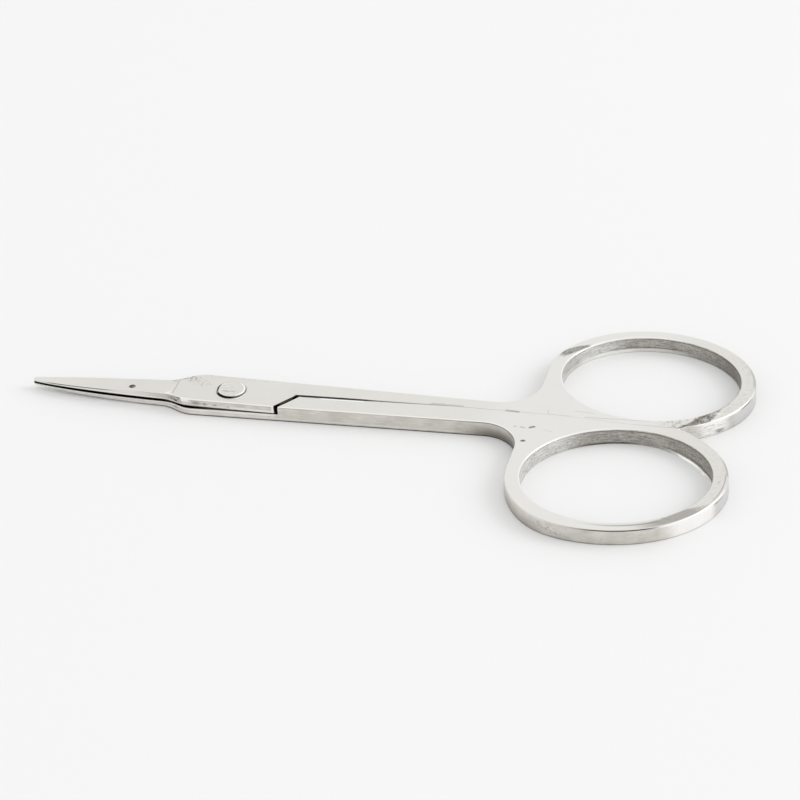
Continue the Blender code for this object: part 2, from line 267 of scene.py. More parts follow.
    # The rivet hole narrows under the head.
    bore = [point for point in drawing.verts if point.co.xy.length < 1.9 and point.co.z < LAP_FACE + 0.001]
    bmesh.ops.scale(drawing, vec=(BORE / COUNTERSINK, BORE / COUNTERSINK, 1), verts=bore)

    bmesh.ops.remove_doubles(drawing, verts=drawing.verts, dist=0.0005)
    bmesh.ops.recalc_face_normals(drawing, faces=drawing.faces)
    if turn == -1:
        bmesh.ops.rotate(drawing, cent=(0, 0, THICK / 2), matrix=Matrix.Rotation(math.pi, 3, "X"), verts=drawing.verts)
    bmesh.ops.scale(drawing, vec=(MM, MM, MM), verts=drawing.verts)
    return finished(name, drawing)


def finished(name, drawing):
    mesh = bpy.data.meshes.new(name)
    drawing.to_mesh(mesh)
    drawing.free()
    mesh.shade_smooth()
    mesh.set_sharp_from_angle(angle=math.radians(35))
    piece = bpy.data.objects.new(name, mesh)
    bpy.context.scene.collection.objects.link(piece)
    weighted = piece.modifiers.new("Even flats", "WEIGHTED_NORMAL")
    weighted.keep_sharp = True
    return piece


class Reading:
    """A value that varies over the steel. Arithmetic on it writes Math nodes."""

    def __init__(self, tree, socket):
        self.tree, self.socket = tree, socket

    def worked(self, operation, *terms):
        node = self.tree.nodes.new("ShaderNodeMath")
        node.operation = operation
        for place, term in zip(node.inputs, terms):
            feed(self.tree, place, term)
        return Reading(self.tree, node.outputs[0])

    def __add__(self, other):
        return self.worked("ADD", self, other)

    def __radd__(self, other):
        return self.worked("ADD", other, self)

    def __sub__(self, other):
        return self.worked("SUBTRACT", self, other)

    def __rsub__(self, other):
        return self.worked("SUBTRACT", other, self)

    def __mul__(self, other):
        return self.worked("MULTIPLY", self, other)

    def __rmul__(self, other):
        return self.worked("MULTIPLY", other, self)

    def __truediv__(self, other):
        return self.worked("DIVIDE", self, other)

    def __pow__(self, other):
        return self.worked("POWER", self, other)

    def __abs__(self):
        return self.worked("ABSOLUTE", self)

    def least(self, other):
        return self.worked("MINIMUM", self, other)

    def most(self, other):
        return self.worked("MAXIMUM", self, other)


def feed(tree, place, value):
    if isinstance(value, Reading):
        tree.links.new(value.socket, place)
    else:
        place.default_value = value


def shade(red, green, blue):
    """A colour as a picture shows it, 0 to 255, made linear."""
    parts = [part / 255 for part in (red, green, blue)]
    return (*(part / 12.92 if part < 0.04045 else ((part + 0.055) / 1.055) ** 2.4 for part in parts), 1)


class Steel:
    """Bare stainless steel, laid on in coats. Its places are millimetres from the pivot."""

    def __init__(self, name, flat_colour):
        self.material = bpy.data.materials.new(name)
        self.material.use_nodes = True
        self.tree = self.material.node_tree
        self.shader = self.tree.nodes["Principled BSDF"]
        self.shader.inputs["Metallic"].default_value = 1
        metres = self.node("ShaderNodeTexCoord", output="Object")
        self.place = self.node("ShaderNodeVectorMath", {"operation": "SCALE"}, {0: metres, "Scale": 1 / MM})
        self.x, self.y, self.z = (
            self.node("ShaderNodeSeparateXYZ", inputs={0: self.place}, output=axis) for axis in "XYZ"
        )
        facing = self.node("ShaderNodeTexCoord", output="Normal")
        self.lean, self.away = (
            self.node("ShaderNodeSeparateXYZ", inputs={0: facing}, output=axis) for axis in "ZY"
        )
        self.colour = flat_colour
        self.roughness = 0.36
        self.height = 0.0

    def node(self, kind, settings=None, inputs=None, output=0):
        made = self.tree.nodes.new(kind)
        for name, value in (settings or {}).items():
            setattr(made, name, value)
        for place, value in (inputs or {}).items():
            feed(self.tree, made.inputs[place], value)
        return Reading(self.tree, made.outputs[output])

    def between(self, value, low, high):
        """0 below low, 1 above high, smooth on the way; turned round where low is the higher."""
        return self.node(
            "ShaderNodeMapRange", {"interpolation_type": "SMOOTHSTEP"}, {"Value": value, 1: low, 2: high}
        )

    def band(self, value, start, full, still_full, end):
        """1 from full to still full, and smoothly down to 0 at start and end."""
        return self.between(value, start, full) * self.between(value, end, still_full)

    def line(self, value, middle, soft, reach):
        """1 within reach of the middle, and smoothly down to 0 at soft."""
        return self.between(abs(value - middle), soft, reach)

    def cloud(self, fine, stretch=(1, 1, 1), detail=4, roughness=0.55, shift=0):
        """Noise from 0 to 1, so many patches to the millimetre."""
        stretched = self.node(
            "ShaderNodeMapping", {"vector_type": "POINT"},
            {"Vector": self.place, "Location": (shift, shift * 0.7, shift * 1.3), "Scale": stretch},
        )
        return self.node(
            "ShaderNodeTexNoise", {"noise_dimensions": "3D"},
            {"Vector": stretched, "Scale": fine, "Detail": detail, "Roughness": roughness},
        )

    def coat(self, mask, colour, roughness=None):
        """Lays a colour over what is there, and its roughness with it."""
        self.colour = self.mix(mask, self.colour, colour)
        if roughness is not None:
            self.roughness = mask * roughness + (1 - mask) * self.roughness

    def mix(self, mask, under, over):
        return self.node(
            "ShaderNodeMix", {"data_type": "RGBA"}, {"Factor": mask, 6: under, 7: over}, output=2
        )

    def stroke(self, start, end, width, soft, at=None):
        """1 along a line with round ends, in plan or in the two readings that at gives."""
        x, y = at or (self.x, self.y)
        run, rise = end[0] - start[0], end[1] - start[1]
        length = run * run + rise * rise
        along = ((x - start[0]) * (run / length) + (y - start[1]) * (rise / length)).most(0.0).least(1.0)
        off_x, off_y = x - start[0] - along * run, y - start[1] - along * rise
        distance = (off_x * off_x + off_y * off_y) ** 0.5
        return self.between(distance, width / 2 + soft, width / 2)

    def spot(self, centre, length, width, soft, at=None):
        """1 on an oval, in plan or in the two readings that at gives."""
        x, y = at or (self.x, self.y)
        off_x, off_y = (x - centre[0]) * (2 / length), (y - centre[1]) * (2 / width)
        distance = (off_x * off_x + off_y * off_y) ** 0.5
        return self.between(distance, 1 + soft, 1 - soft)

    def round_bow(self, bow, side):
        """Places round a bow: millimetres out from the hole's edge, and degrees from its far end."""
        lean = math.radians(-bow["lean"] * side)
        from_x, from_y = self.x - bow["centre"][0], self.y - bow["centre"][1] * side
        along = (from_x * math.cos(lean) + from_y * math.sin(lean)) / bow["half_length"]
        across = (from_y * math.cos(lean) - from_x * math.sin(lean)) / bow["half_width"]
        out = ((along * along + across * across) ** 0.5 - 1) * 10.3
        return out, along.worked("ARCTAN2", across, along) * (180 / math.pi), along

    def round_rivet(self):
        """Millimetres from just right of the rivet's middle, and how much a place lies on the near side, -1 to 1."""
        x = self.x - 0.09
        distance = (x * x + self.y * self.y) ** 0.5
        return distance, (x * -0.35 + self.y * -0.94) / distance.most(0.01)

    def done(self, piece):
        feed(self.tree, self.shader.inputs["Base Color"], self.colour)
        feed(self.tree, self.shader.inputs["Roughness"], self.roughness)
        relief = self.node("ShaderNodeBump", inputs={"Height": self.height, "Distance": MM, "Strength": 1.0})
        feed(self.tree, self.shader.inputs["Normal"], relief)
        piece.data.materials.append(self.material)


def lay_ground_steel(steel, bow, side):
    """Satin flats, trimmed sides and the rough inside of the bow, which both halves have, with painted light and shade
    on the sides by the gap and inside the bow.
    """
    up = steel.between(abs(steel.lean), 0.5, 0.85)
    top = up * steel.between(steel.z, 1.5, 1.8)
    wall = 1 - up
    out, around, along = steel.round_bow(bow, side)
    fine = steel.cloud(6, detail=5)
    broad = steel.cloud(0.22, detail=3)
    grain = steel.cloud(1, (1.2, 9, 9), detail=3)
    steel.coat((broad - 0.42) * 1.6, shade(222, 220, 215))
    steel.coat((fine * 0.6 + grain * 0.4 - 0.5).most(0.0) * 1.2, shade(204, 201, 195), 0.44)

    # Flats a little duller on the joint, lighter on the web.
    steel.coat(top * steel.between(steel.x, 6.0, -3.0) * 0.3, shade(216, 213, 208))
    on_web = steel.band(steel.x, 29.0, 37.0, 50.0, 58.0)
    steel.coat(top * on_web * 0.45, shade(240, 239, 236))

    # Sides as trimmed: duller and browner, mottled, with faint marks that run along them.
    mottle = steel.cloud(0.55, (1, 1, 1.6), detail=5, roughness=0.6)
    runs = steel.cloud(1.0, (0.45, 0.45, 5), detail=4, roughness=0.6)
    side_colour = steel.mix(steel.between(mottle, 0.32, 0.68), shade(203, 199, 192), shade(218, 215, 209))
    side_colour = steel.mix(steel.between(runs, 0.5, 0.8) * 0.7, side_colour, shade(236, 234, 230))
    side_colour = steel.mix(steel.between(runs, 0.46, 0.2) * 0.6, side_colour, shade(177, 172, 164))
    steel.coat(wall, side_colour, 0.42 + mottle * 0.1)
    # Painted light: the sides lightened below and above the gap on the joint and blade, and a painted highlight along
    # both sides of the gap.
    on_joint = steel.between(steel.x, 6.6, 6.2)
    on_blade = steel.band(steel.x, -7.0, -9.0, -19.0, -25.5)
    steel.coat(wall * on_joint * steel.between(steel.z, 1.0, 0.95) * (0.15 + on_blade * 0.3), shade(247, 244, 240))
    steel.coat(wall * steel.between(steel.z, 1.1, 1.15) * on_blade * 0.25, shade(247, 244, 240))
    beside_gap = steel.line(steel.z, 1.05, 0.44, 0.34)
    steel.coat(wall * on_joint * beside_gap * (0.3 + runs * 0.5), shade(253, 252, 249))

    # Inside of the bow: rough and scratched along its length, with painted light towards the shank and painted shade,
    # darkest at the far end.
    inside = steel.between(out, 0.3, 0.1) * wall * steel.between(steel.x, 34.0, 36.0)
    scratches = steel.cloud(1.3, (0.5, 0.5, 6), detail=6, roughness=0.7, shift=5)
    speckle = steel.cloud(3.2, (1, 1, 2), detail=4, roughness=0.7, shift=9)
    scored = steel.between(scratches, 0.36, 0.64)
    light = steel.mix(scored, shade(203, 201, 197), shade(243, 242, 240))
    dull_and_shaded = steel.mix(scored, shade(146, 143, 137), shade(194, 191, 185))
    inner = steel.mix(steel.between(along, *bow["dull_and_shaded_from"]), light, dull_and_shaded)
    inner = steel.mix(steel.between(along, *bow["dark_from"]) * bow["darkest"], inner, shade(112, 107, 99))
    inner = steel.mix(steel.between(speckle, 0.54, 0.7) * 0.7, inner, shade(232, 229, 224))
    inner = steel.mix(steel.between(speckle, 0.46, 0.28) * 0.8, inner, shade(92, 87, 79))
    steel.coat(inside, inner, 0.42 + scratches * 0.12)
    # Painted shade: a dark line under the top edge.
    under_edge = inside * steel.line(steel.z, 1.86, 0.1, 0.03)
    steel.coat(under_edge * (0.2 + steel.between(along, -0.7, 0.0) * 0.4), shade(90, 84, 76))
    # Painted highlight along the hole's edge.
    hole_edge = steel.line(out, 0.1, 0.13, 0.05) * steel.between(steel.z, 1.9, 1.98)
    steel.coat(hole_edge * steel.between(along, 0.5, -0.3) * 0.7, shade(250, 250, 248), 0.3)
    return up, top, wall, inside, out, around, along, fine, grain, mottle, runs, scratches


def shade_corners_and_gaps(steel, up, top, wall, inside, out, along, fine, grain, mottle, runs, scratches):
    """Painted shade in the corners and along the foot, painted highlights on corners, the gaps painted black as their
    shade, and the faces that lie on the other half.
    """
    # Painted shade: a dark line under the top corner off the bow; a painted highlight on top corners facing the front,
    # painted shade on those facing away.
    off_bow = steel.between(out, 1.7, 2.0) * steel.between(steel.x, 39.0, 37.5)
    corner = wall * steel.line(steel.z, 1.93, 0.07, 0.02) * off_bow
    steel.coat(corner * (0.1 + mottle * 0.35 + steel.between(steel.x, 22.0, 27.0) * 0.3), shade(118, 110, 99))
    broken = steel.band(steel.z, 1.97, 2.0, 2.08, 2.095)
    steel.coat(broken * off_bow * steel.between(steel.away, -0.1, -0.3) * 0.6, shade(255, 254, 251), 0.3)
    steel.coat(
        steel.band(steel.z, 1.9, 1.94, 2.09, 2.099) * steel.between(steel.away, 0.15, 0.4)
        * steel.between(out, 1.2, 1.4) * (0.45 + off_bow * 0.3), shade(184, 180, 173),
    )
    # Painted highlight: a light line low on the shank's side.
    light_line = wall * steel.line(steel.z, 0.4, 0.16, 0.06) * off_bow * steel.between(steel.x, 31.0, 28.0)
    steel.coat(light_line * (0.2 + runs * 0.5), shade(248, 246, 242))
    # Painted shade along the foot, fainter round the bow.
    foot = steel.band(steel.z, 0.18, 0.1, 0.01, 0.003) * (1 - inside)
    fainter = steel.between(along, -1.35, -0.95) * 0.38 + steel.between(along, -0.2, 0.1) * 0.12
    fainter = fainter + steel.between(along, 0.3, 0.8) * 0.2
    steel.coat(foot * (0.92 - fainter), shade(48, 44, 38))

    # Dull lapped faces in the joint, painted black as shade where they show as the gap, and the sides beside the gap
    # painted black as its shade too.
    inner_face = steel.line(steel.z, 1.05, 0.2, 0.16) * up * steel.between(steel.x, 9.2, 9.0)
    steel.coat(inner_face, steel.mix(grain, shade(160, 157, 151), shade(200, 197, 191)), 0.36)
    along_blade = ((-8.4 - steel.x) / 17.5).most(0.0)
    from_rim = steel.y + 2.83 - (-4.6 - steel.x).most(0.0).least(3.8) * 0.21 - along_blade * along_blade * 1.5
    reach = 0.02 + steel.between(steel.x, -7.5, -9.5) * 0.4
    ledge = inner_face * steel.between(from_rim, reach + 0.08, reach) * (1 - steel.between(steel.x, -4.0, 0.0) * 0.6)
    steel.coat(ledge, shade(14, 12, 10), 0.7)
    gap_reach = 0.07 + steel.between(steel.x, -6.0, -8.5) * 0.11 - steel.between(steel.x, -18.0, -25.0) * 0.05
    near_gap = steel.line(steel.z, 1.04, gap_reach + 0.05, gap_reach) * steel.between(steel.x, 6.5, 6.35)
    steel.coat(near_gap * wall * (1 - steel.between(steel.x, -4.0, 1.0) * 0.6), shade(9, 8, 6), 0.7)

    # The seam painted black as its shade from the shoulder on, then thinner and fainter until the shanks close up.
    seam_height = ((steel.x - 8.55) * 0.0376).least(0.75)
    off_seam = abs(steel.y - seam_height) - (fine - 0.5) * 0.06
    half_width = 0.06 + steel.between(steel.x, 20.0, 14.0) * 0.07 + steel.between(steel.x, 26.0, 17.0) * 0.04
    black = steel.between(off_seam, half_width + 0.09, half_width) * steel.between(steel.x, 8.0, 8.6)
    strength = steel.between(steel.x, 30.0, 18.0) * 0.6 + steel.between(steel.x, 19.0, 17.0) * 0.4
    steel.coat(black * strength * top, shade(20, 17, 14), 0.6)
    steel.height = (runs * wall) * 0.008 + fine * 0.001 + (scratches * inside) * 0.02


lower_bow = {
    "centre": (50.776, 10.915), "half_length": 11.4, "half_width": 9.9, "lean": 5.5, "rim_angles": (-60.8, 184.8),
    "fuller": ((128, 24, 0.035), (-62, 15, 0.044)), "foot_in": 0.55,
    "dull_and_shaded_from": (-0.75, -0.3), "dark_from": (0.35, 0.6), "darkest": 0.25,
}
lower_seam = ((8.55, 0.06), (28.516, -0.73), (41.826, -0.74), (49.59, -0.19), (56.51, -0.17))
lower_half = forged_half("lower_half_steel", lower_bow, 2.1, lower_seam, cutting_edge_curved=True)

lower_steel = Steel("lower_half_ground_steel", shade(228, 227, 222))
up, top, wall, inside, out, around, along, *texture = lay_ground_steel(lower_steel, lower_bow, -1)
wander = (lower_steel.cloud(1.6, detail=4, shift=2) - 0.5) * 0.5
strayed = (lower_steel.x + wander, lower_steel.y + wander)
cloudy = lower_steel.cloud(2.2, (1, 1, 1), detail=5, roughness=0.65, shift=4)

# Bow's outer side, with its light painted: painted shade low on the left under a lighter top, a painted highlight on
# the corner in front, a painted bright reflection where it turns to the far end, an even grey beyond, and marks.
rim_side = wall * lower_steel.between(out, 0.6, 1.0) * lower_steel.between(lower_steel.x, 36.0, 38.0)
left = rim_side * lower_steel.band(around, -123.0, -138.0, -166.0, -180.0)
lower_steel.coat(left * lower_steel.between(lower_steel.z, 1.1, 1.8) * 0.2, shade(238, 235, 230))
lower_steel.coat(left * lower_steel.between(lower_steel.z, 1.5, 0.1) * 0.35, shade(128, 124, 116))
near_corner = rim_side * lower_steel.between(around, -116.0, -122.0)
lower_steel.coat(near_corner * lower_steel.line(lower_steel.z, 1.9, 0.12, 0.06) * 0.2, shade(246, 244, 240))
turning_bright = lower_steel.band(around, -66.0, -50.0, -30.0, -20.0)
lower_steel.coat(rim_side * turning_bright * (0.75 + cloudy * 0.4), shade(255, 254, 252), 0.34)
beyond = lower_steel.band(around, -27.0, -18.0, 30.0, 70.0)
lower_steel.coat(rim_side * beyond * 0.9, shade(220, 220, 220), 0.4)
chipped = lower_steel.between(cloudy, 0.5, 0.6)
on_rim = (around * 0.2 + (cloudy - 0.5) * 2.5, lower_steel.z + wander * 2)
for angle, height, size in (
    (-126.5, 1.4, 0.7), (-120.0, 1.1, 0.9), (-115.0, 0.8, 0.5), (-93.5, 0.8, 0.5), (-92.0, 0.3, 0.3),
):
    mark = lower_steel.spot((angle * 0.2, height), size * 1.3, size * 0.6, 0.9, on_rim)
    lower_steel.coat(mark * chipped * rim_side * 0.6, shade(104, 99, 91))
    lower_steel.coat(mark * (1 - chipped) * rim_side * 0.4, shade(244, 242, 238))

# Painted shade in the pocket by the fillet, darkest towards its foot, where the side is also rougher, and a painted
# dark line under its top corner.
pocket = (
    wall * lower_steel.between(lower_steel.x, 27.5, 34.5) * lower_steel.between(out, 1.7, 3.4)
    * lower_steel.between(lower_steel.x, 38.2, 37.6)
)
lower_steel.coat(pocket * lower_steel.between(lower_steel.z, 2.1, 0.2) * 0.85, shade(112, 107, 99), 0.5)
lower_steel.coat(pocket * lower_steel.line(lower_steel.z, 1.92, 0.09, 0.03) * 0.6, shade(96, 91, 83))

# A dark mark on the plate's side.
side_mark = lower_steel.spot((-6.6, 0.6), 0.6, 0.3, 0.8, (lower_steel.x + wander * 0.5, lower_steel.z + wander * 0.5))
lower_steel.coat(side_mark * wall * lower_steel.between(lower_steel.y, -1.5, -2.0) * 0.5, shade(104, 99, 91))

# Inner side's foot: painted shade under the web; towards the far end, a painted dark line above a painted highlight.
foot = inside * lower_steel.between(lower_steel.z, 0.3, 0.16)
under_web = lower_steel.band(along, -0.6, -0.3, 0.0, 0.2)
lower_steel.coat(foot * under_web * 0.8, shade(78, 74, 67))
far_foot = lower_steel.between(along, 0.3, 0.7)
lower_steel.coat(inside * lower_steel.line(lower_steel.z, 0.5, 0.14, 0.05) * far_foot * 0.6, shade(92, 87, 79))
lower_steel.coat(inside * lower_steel.between(lower_steel.z, 0.36, 0.26) * far_foot, shade(255, 255, 253), 0.25)
shade_corners_and_gaps(lower_steel, up, top, wall, inside, out, along, *texture)

# Shut joint: the shoulder painted black on both sides of the gap as its shade, and a painted highlight on the flat
# below the seam.
above_lap = lower_steel.between(lower_steel.z, 0.98, 1.04)
lower_steel.coat(lower_steel.stroke((6.6, -3.0), (8.85, 0.0), 0.08, 0.07) * above_lap, shade(16, 14, 11), 0.6)
into_gap = (lower_steel.x - 8.85) * 0.8 - lower_steel.y * 0.6
lap_corner = up * lower_steel.line(lower_steel.z, 1.0, 0.1, 0.05) * lower_steel.between(into_gap, -0.6, -0.45)
lower_steel.coat(lap_corner * lower_steel.between(lower_steel.x, 9.2, 9.0), shade(16, 14, 11), 0.7)
lower_steel.coat(top * lower_steel.stroke((11.7, -0.2), (17.0, -0.01), 0.08, 0.16) * 0.9, shade(253, 253, 251), 0.3)
lower_steel.coat(lower_steel.stroke((34.9, 0.72), (36.5, 0.65), 0.04, 0.16) * top * 0.5, shade(120, 115, 107))

# Pits by the bow's web.
for start, end, width, depth in (
    ((36.7, -2.45), (36.85, -2.48), 0.05, 0.35), ((37.5, -2.52), (37.9, -2.6), 0.05, 0.4),
    ((38.62, -2.46), (39.0, -2.24), 0.14, 0.75), ((38.36, -5.42), (38.46, -5.42), 0.24, 0.85),
    ((40.4, -2.75), (41.4, -3.0), 0.03, 0.1),
):
    pit = lower_steel.stroke(start, end, width, 0.2, strayed) * top * depth
    lower_steel.coat(pit, shade(84, 79, 71), 0.5)
    lower_steel.height = lower_steel.height - pit * 0.05

# Far end of the bow, hand polished over its corner: the tilted flat's dark reflection there and its edge's highlight
# are painted.
band_inside = (((-50.0 - around) * 0.022).most((around + 42.0) * 0.085)).most(0.0) + 0.05
dark_band = (
    lower_steel.between(out + (cloudy - 0.5) * 0.3, band_inside - 0.1, band_inside + 0.25)
    * lower_steel.between(out, 1.62, 1.42) * lower_steel.between(around, -80.0, -60.0)
    * lower_steel.between(around + (cloudy - 0.5) * 24, -25.0, -41.0)
)
lower_steel.coat(dark_band * top * (0.45 + cloudy * 0.8), shade(166, 162, 156), 0.34)
bright_edge = lower_steel.band(lower_steel.z, 1.74, 1.81, 1.95, 2.03)
bright_edge = bright_edge * lower_steel.between(out, 1.25, 1.4) * lower_steel.between(abs(around + 25), 1.0, 4.0)
lower_steel.coat(bright_edge * lower_steel.band(around, -68.0, -57.0, -14.0, -4.0), shade(255, 254, 251), 0.25)
# Painted shade: dark lines along the far end's corners, its side and the middle of its flat, and a shaded patch on its
# right side.
lower_steel.coat(
    lower_steel.line(out, 1.34, 0.09, 0.03) * lower_steel.between(lower_steel.z, 1.9, 2.0)
    * lower_steel.band(around, -30.0, -18.0, 0.0, 8.0) * 0.6, shade(140, 135, 128),
)
lower_steel.coat(
    lower_steel.line(out, 0.68, 0.18, 0.05) * top
    * lower_steel.band(around, -112.0, -78.0, -66.0, -58.0) * 0.75, shade(146, 140, 132),
)
lower_steel.coat(
    lower_steel.line(lower_steel.z, 1.94, 0.09, 0.04) * lower_steel.between(out, 1.3, 1.45)
    * lower_steel.band(around, -116.0, -92.0, -72.0, -60.0), shade(76, 70, 63),
)
lower_steel.coat(
    lower_steel.between(out, 1.35, 1.5) * lower_steel.between(lower_steel.z, 1.4, 1.7)
    * lower_steel.band(around, 0.0, 5.0, 16.0, 26.0) * 0.8, shade(184, 181, 176),
)
lower_steel.coat(
    lower_steel.line(lower_steel.z, 1.72, 0.12, 0.04) * rim_side
    * lower_steel.band(around, -28.0, -23.0, -18.0, -12.0) * 0.7, shade(120, 115, 108),
)
# A small dark mark, and wear on the flat.
lower_steel.coat(lower_steel.spot((62.98, -10.44), 0.24, 0.24, 0.6) * top * 0.4, shade(90, 85, 78))
worn = lower_steel.between(abs(around + 5), 60.0, 25.0) * lower_steel.between(out, 0.1, 0.5) * top
lower_steel.coat(worn * lower_steel.between(cloudy, 0.46, 0.66) * 0.4, shade(200, 197, 191), 0.42)
lower_steel.done(lower_half)

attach(lower_half, "lower_half")
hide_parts("lower_blade")


# ---- Upper half --------------------------------------------------------------------------------
# The other forging, turned over on the first. Its shank and bow lie at the same height, on the far
# side, and its blade covers the lower one.

upper_bow = {
    "centre": (51.017, 10.857), "half_length": 11.2, "half_width": 9.45, "lean": 10, "rim_angles": (-53.5, 188.5),
    "fuller": (), "foot_in": 0.1,
    "dull_and_shaded_from": (-0.85, -0.45), "dark_from": (0.2, 0.75), "darkest": 0.55,
}
upper_seam = ((8.55, 0.06), (28.516, 0.77), (41.826, 0.76), (49.59, 0.21), (56.4, 0.21))
upper_half = forged_half("upper_half_steel", upper_bow, 2.6, upper_seam, cutting_edge_curved=False)

upper_steel = Steel("upper_half_ground_steel", shade(228, 227, 222))
up, top, wall, inside, out, around, along, *texture = lay_ground_steel(upper_steel, upper_bow, 1)
wander = (upper_steel.cloud(1.6, detail=4, shift=3) - 0.5) * 0.5
strayed = (upper_steel.x + wander, upper_steel.y + wander)
speckled = upper_steel.cloud(3.5, detail=4, roughness=0.7, shift=1)
cloudy = upper_steel.cloud(2.0, (1, 1, 1), detail=5, roughness=0.7, shift=6)
streaked = upper_steel.cloud(1.7, (0.6, 0.6, 4), detail=5, roughness=0.7, shift=7)

# Bow's outer side: streaked, lighter and then a painted bright reflection where it leaves the other bow, then an even
# cool grey, with a blotch.
rim_side = wall * upper_steel.between(out, 0.6, 1.0) * upper_steel.between(upper_steel.x, 50.0, 54.0)
upper_steel.coat(rim_side * upper_steel.between(around, -20.0, -28.0) * 0.6, shade(240, 238, 235), 0.38)
turning_bright = upper_steel.band(around, -48.0, -41.0, -33.0, -24.0)
upper_steel.coat(rim_side * turning_bright * 0.9, shade(255, 254, 252), 0.34)
upper_steel.coat(rim_side * upper_steel.between(around, -28.0, -18.0) * 0.85, shade(219, 218, 217), 0.4)
front = rim_side * upper_steel.between(around, -18.0, -26.0)
upper_steel.coat(front * upper_steel.between(streaked, 0.5, 0.36) * 0.6, shade(168, 162, 153), 0.45)
blotch = upper_steel.spot((-32.5 * 0.2, 0.45), 1.2, 0.5, 0.7, (around * 0.2 + wander, upper_steel.z + wander * 0.6))
upper_steel.coat(blotch * rim_side * 0.7, shade(132, 127, 119), 0.5)

# Inner side: a painted light band along its foot, under a painted dark line, and painted light low on the wall towards
# the shank.
banded = inside * upper_steel.between(along, 0.4, -0.3)
band_foot = upper_steel.between(upper_steel.z + wander * 0.3, 0.62, 0.42)
upper_steel.coat(banded * band_foot * 0.75, shade(248, 247, 243), 0.32)
upper_steel.coat(inside * upper_steel.between(along, -0.92, -0.98) * 0.3, shade(160, 157, 151))
upper_steel.coat(
    inside * upper_steel.band(along, -0.88, -0.8, -0.55, -0.4)
    * upper_steel.between(upper_steel.z, 0.6, 0.4) * 0.7, shade(255, 255, 252), 0.3,
)
upper_steel.coat(
    banded * upper_steel.line(upper_steel.z + wander * 0.2, 0.66, 0.12, 0.04)
    * upper_steel.between(along, -0.8, -0.6) * 0.55, shade(106, 101, 93),
)
shade_corners_and_gaps(upper_steel, up, top, wall, inside, out, along, *texture)

# Shut joint: the lap's end painted black to its edge as the gap's shade, with a brown streak, and a painted highlight
# on its upright corner.
lap_end = upper_steel.stroke((6.38, -2.76), (8.5, 0.06), 0.1, 0.14)
upper_steel.coat(lap_end * upper_steel.between(upper_steel.z, 1.12, 1.2), shade(16, 14, 11), 0.6)
upper_steel.coat(
    lap_end * wall * upper_steel.line(upper_steel.z, 1.98, 0.08, 0.03)
    * upper_steel.stroke((7.1, -1.9), (7.9, -0.8), 0.3, 0.4) * 0.9, shade(215, 192, 160),
)
upright = upper_steel.line(upper_steel.x, 6.12, 0.12, 0.05) * upper_steel.between(upper_steel.y, -2.4, -2.7)
upper_steel.coat(wall * upright * upper_steel.between(upper_steel.z, 1.25, 1.35) * 0.8, shade(255, 254, 251), 0.3)
upper_steel.coat(upper_steel.stroke((25.6, 0.86), (29.4, 0.84), 0.12, 0.3, strayed) * top * 0.4, shade(150, 145, 138))
upper_steel.coat(upper_steel.stroke((34.9, 0.93), (36.5, 0.82), 0.04, 0.16) * top * 0.5, shade(120, 115, 107))

# Drawn scratches on the web.
for start, end, strength in (
    ((39.92, 1.72), (40.15, 0.9), 0.2), ((40.4, 0.86), (43.1, 0.86), 0.15), ((43.2, 2.02), (45.7, 1.85), 0.2),
    ((44.7, 0.84), (47.2, 0.9), 0.3), ((47.2, 0.9), (52.6, 1.19), 0.25),
):
    upper_steel.coat(upper_steel.stroke(start, end, 0.05, 0.1) * top * strength, shade(120, 115, 108))

# Ground crease, and the scuffed corner of the joint plate.
upper_steel.coat(upper_steel.stroke((-7.07, 1.35), (-7.09, -1.8), 0.04, 0.1) * top * 0.45, shade(140, 136, 129))
scuff = upper_steel.between(speckled, 0.52, 0.62)
upper_steel.coat(upper_steel.stroke((-7.0, 1.7), (-5.6, 2.6), 0.25, 0.3) * top * 0.6, shade(120, 115, 107))
upper_steel.coat(upper_steel.spot((-5.6, 1.9), 2.4, 1.5, 0.4) * scuff * top, shade(112, 107, 99), 0.55)
upper_steel.coat(upper_steel.spot((-4.1, 1.0), 2.6, 1.4, 0.5) * scuff * top * 0.55, shade(140, 135, 128), 0.5)
rubbed_corner = upper_steel.stroke((-4.8, 2.75), (6.0, 2.75), 0.02, 0.25, strayed)
upper_steel.coat(rubbed_corner * scuff * top * 0.3, shade(150, 145, 138))

# Rough side where the blade grows out of the plate, a painted highlight just past it, and small marks.
above_gap = wall * upper_steel.between(upper_steel.z, 1.26, 1.32)
rough_side = upper_steel.band(upper_steel.x, -10.4, -8.2, -6.1, -5.6)
rough_side = rough_side * upper_steel.between(upper_steel.y, 0.0, -0.5)
duller = 0.35 + upper_steel.between(upper_steel.x, -7.6, -6.6) * 0.4
upper_steel.coat(rough_side * above_gap * duller, shade(166, 161, 153))
pitted = upper_steel.cloud(4.5, detail=5, roughness=0.8, shift=8)
rough_side = rough_side * above_gap * upper_steel.between(upper_steel.x, -8.0, -7.0)
upper_steel.coat(rough_side * upper_steel.between(pitted, 0.5, 0.56), shade(70, 65, 57), 0.6)
upper_steel.coat(rough_side * upper_steel.between(pitted, 0.45, 0.4) * 0.7, shade(232, 229, 223), 0.4)
past_it = upper_steel.band(upper_steel.x, -6.0, -5.6, -5.2, -4.2)
upper_steel.coat(past_it * wall * upper_steel.between(upper_steel.z, 1.5, 1.7) * 0.8, shade(250, 248, 244), 0.35)
near_side = wall * upper_steel.between(upper_steel.y, -2.0, -2.4)
for x, height, size in ((-3.7, 1.6, 1.0), (-2.6, 1.55, 0.6), (-1.3, 1.5, 0.45), (0.4, 1.45, 0.35)):
    mark = upper_steel.spot((x, height), size, size * 0.5, 0.8, (upper_steel.x + wander, upper_steel.z + wander))
    upper_steel.coat(mark * near_side * (0.5 + scuff * 0.4), shade(96, 91, 83))

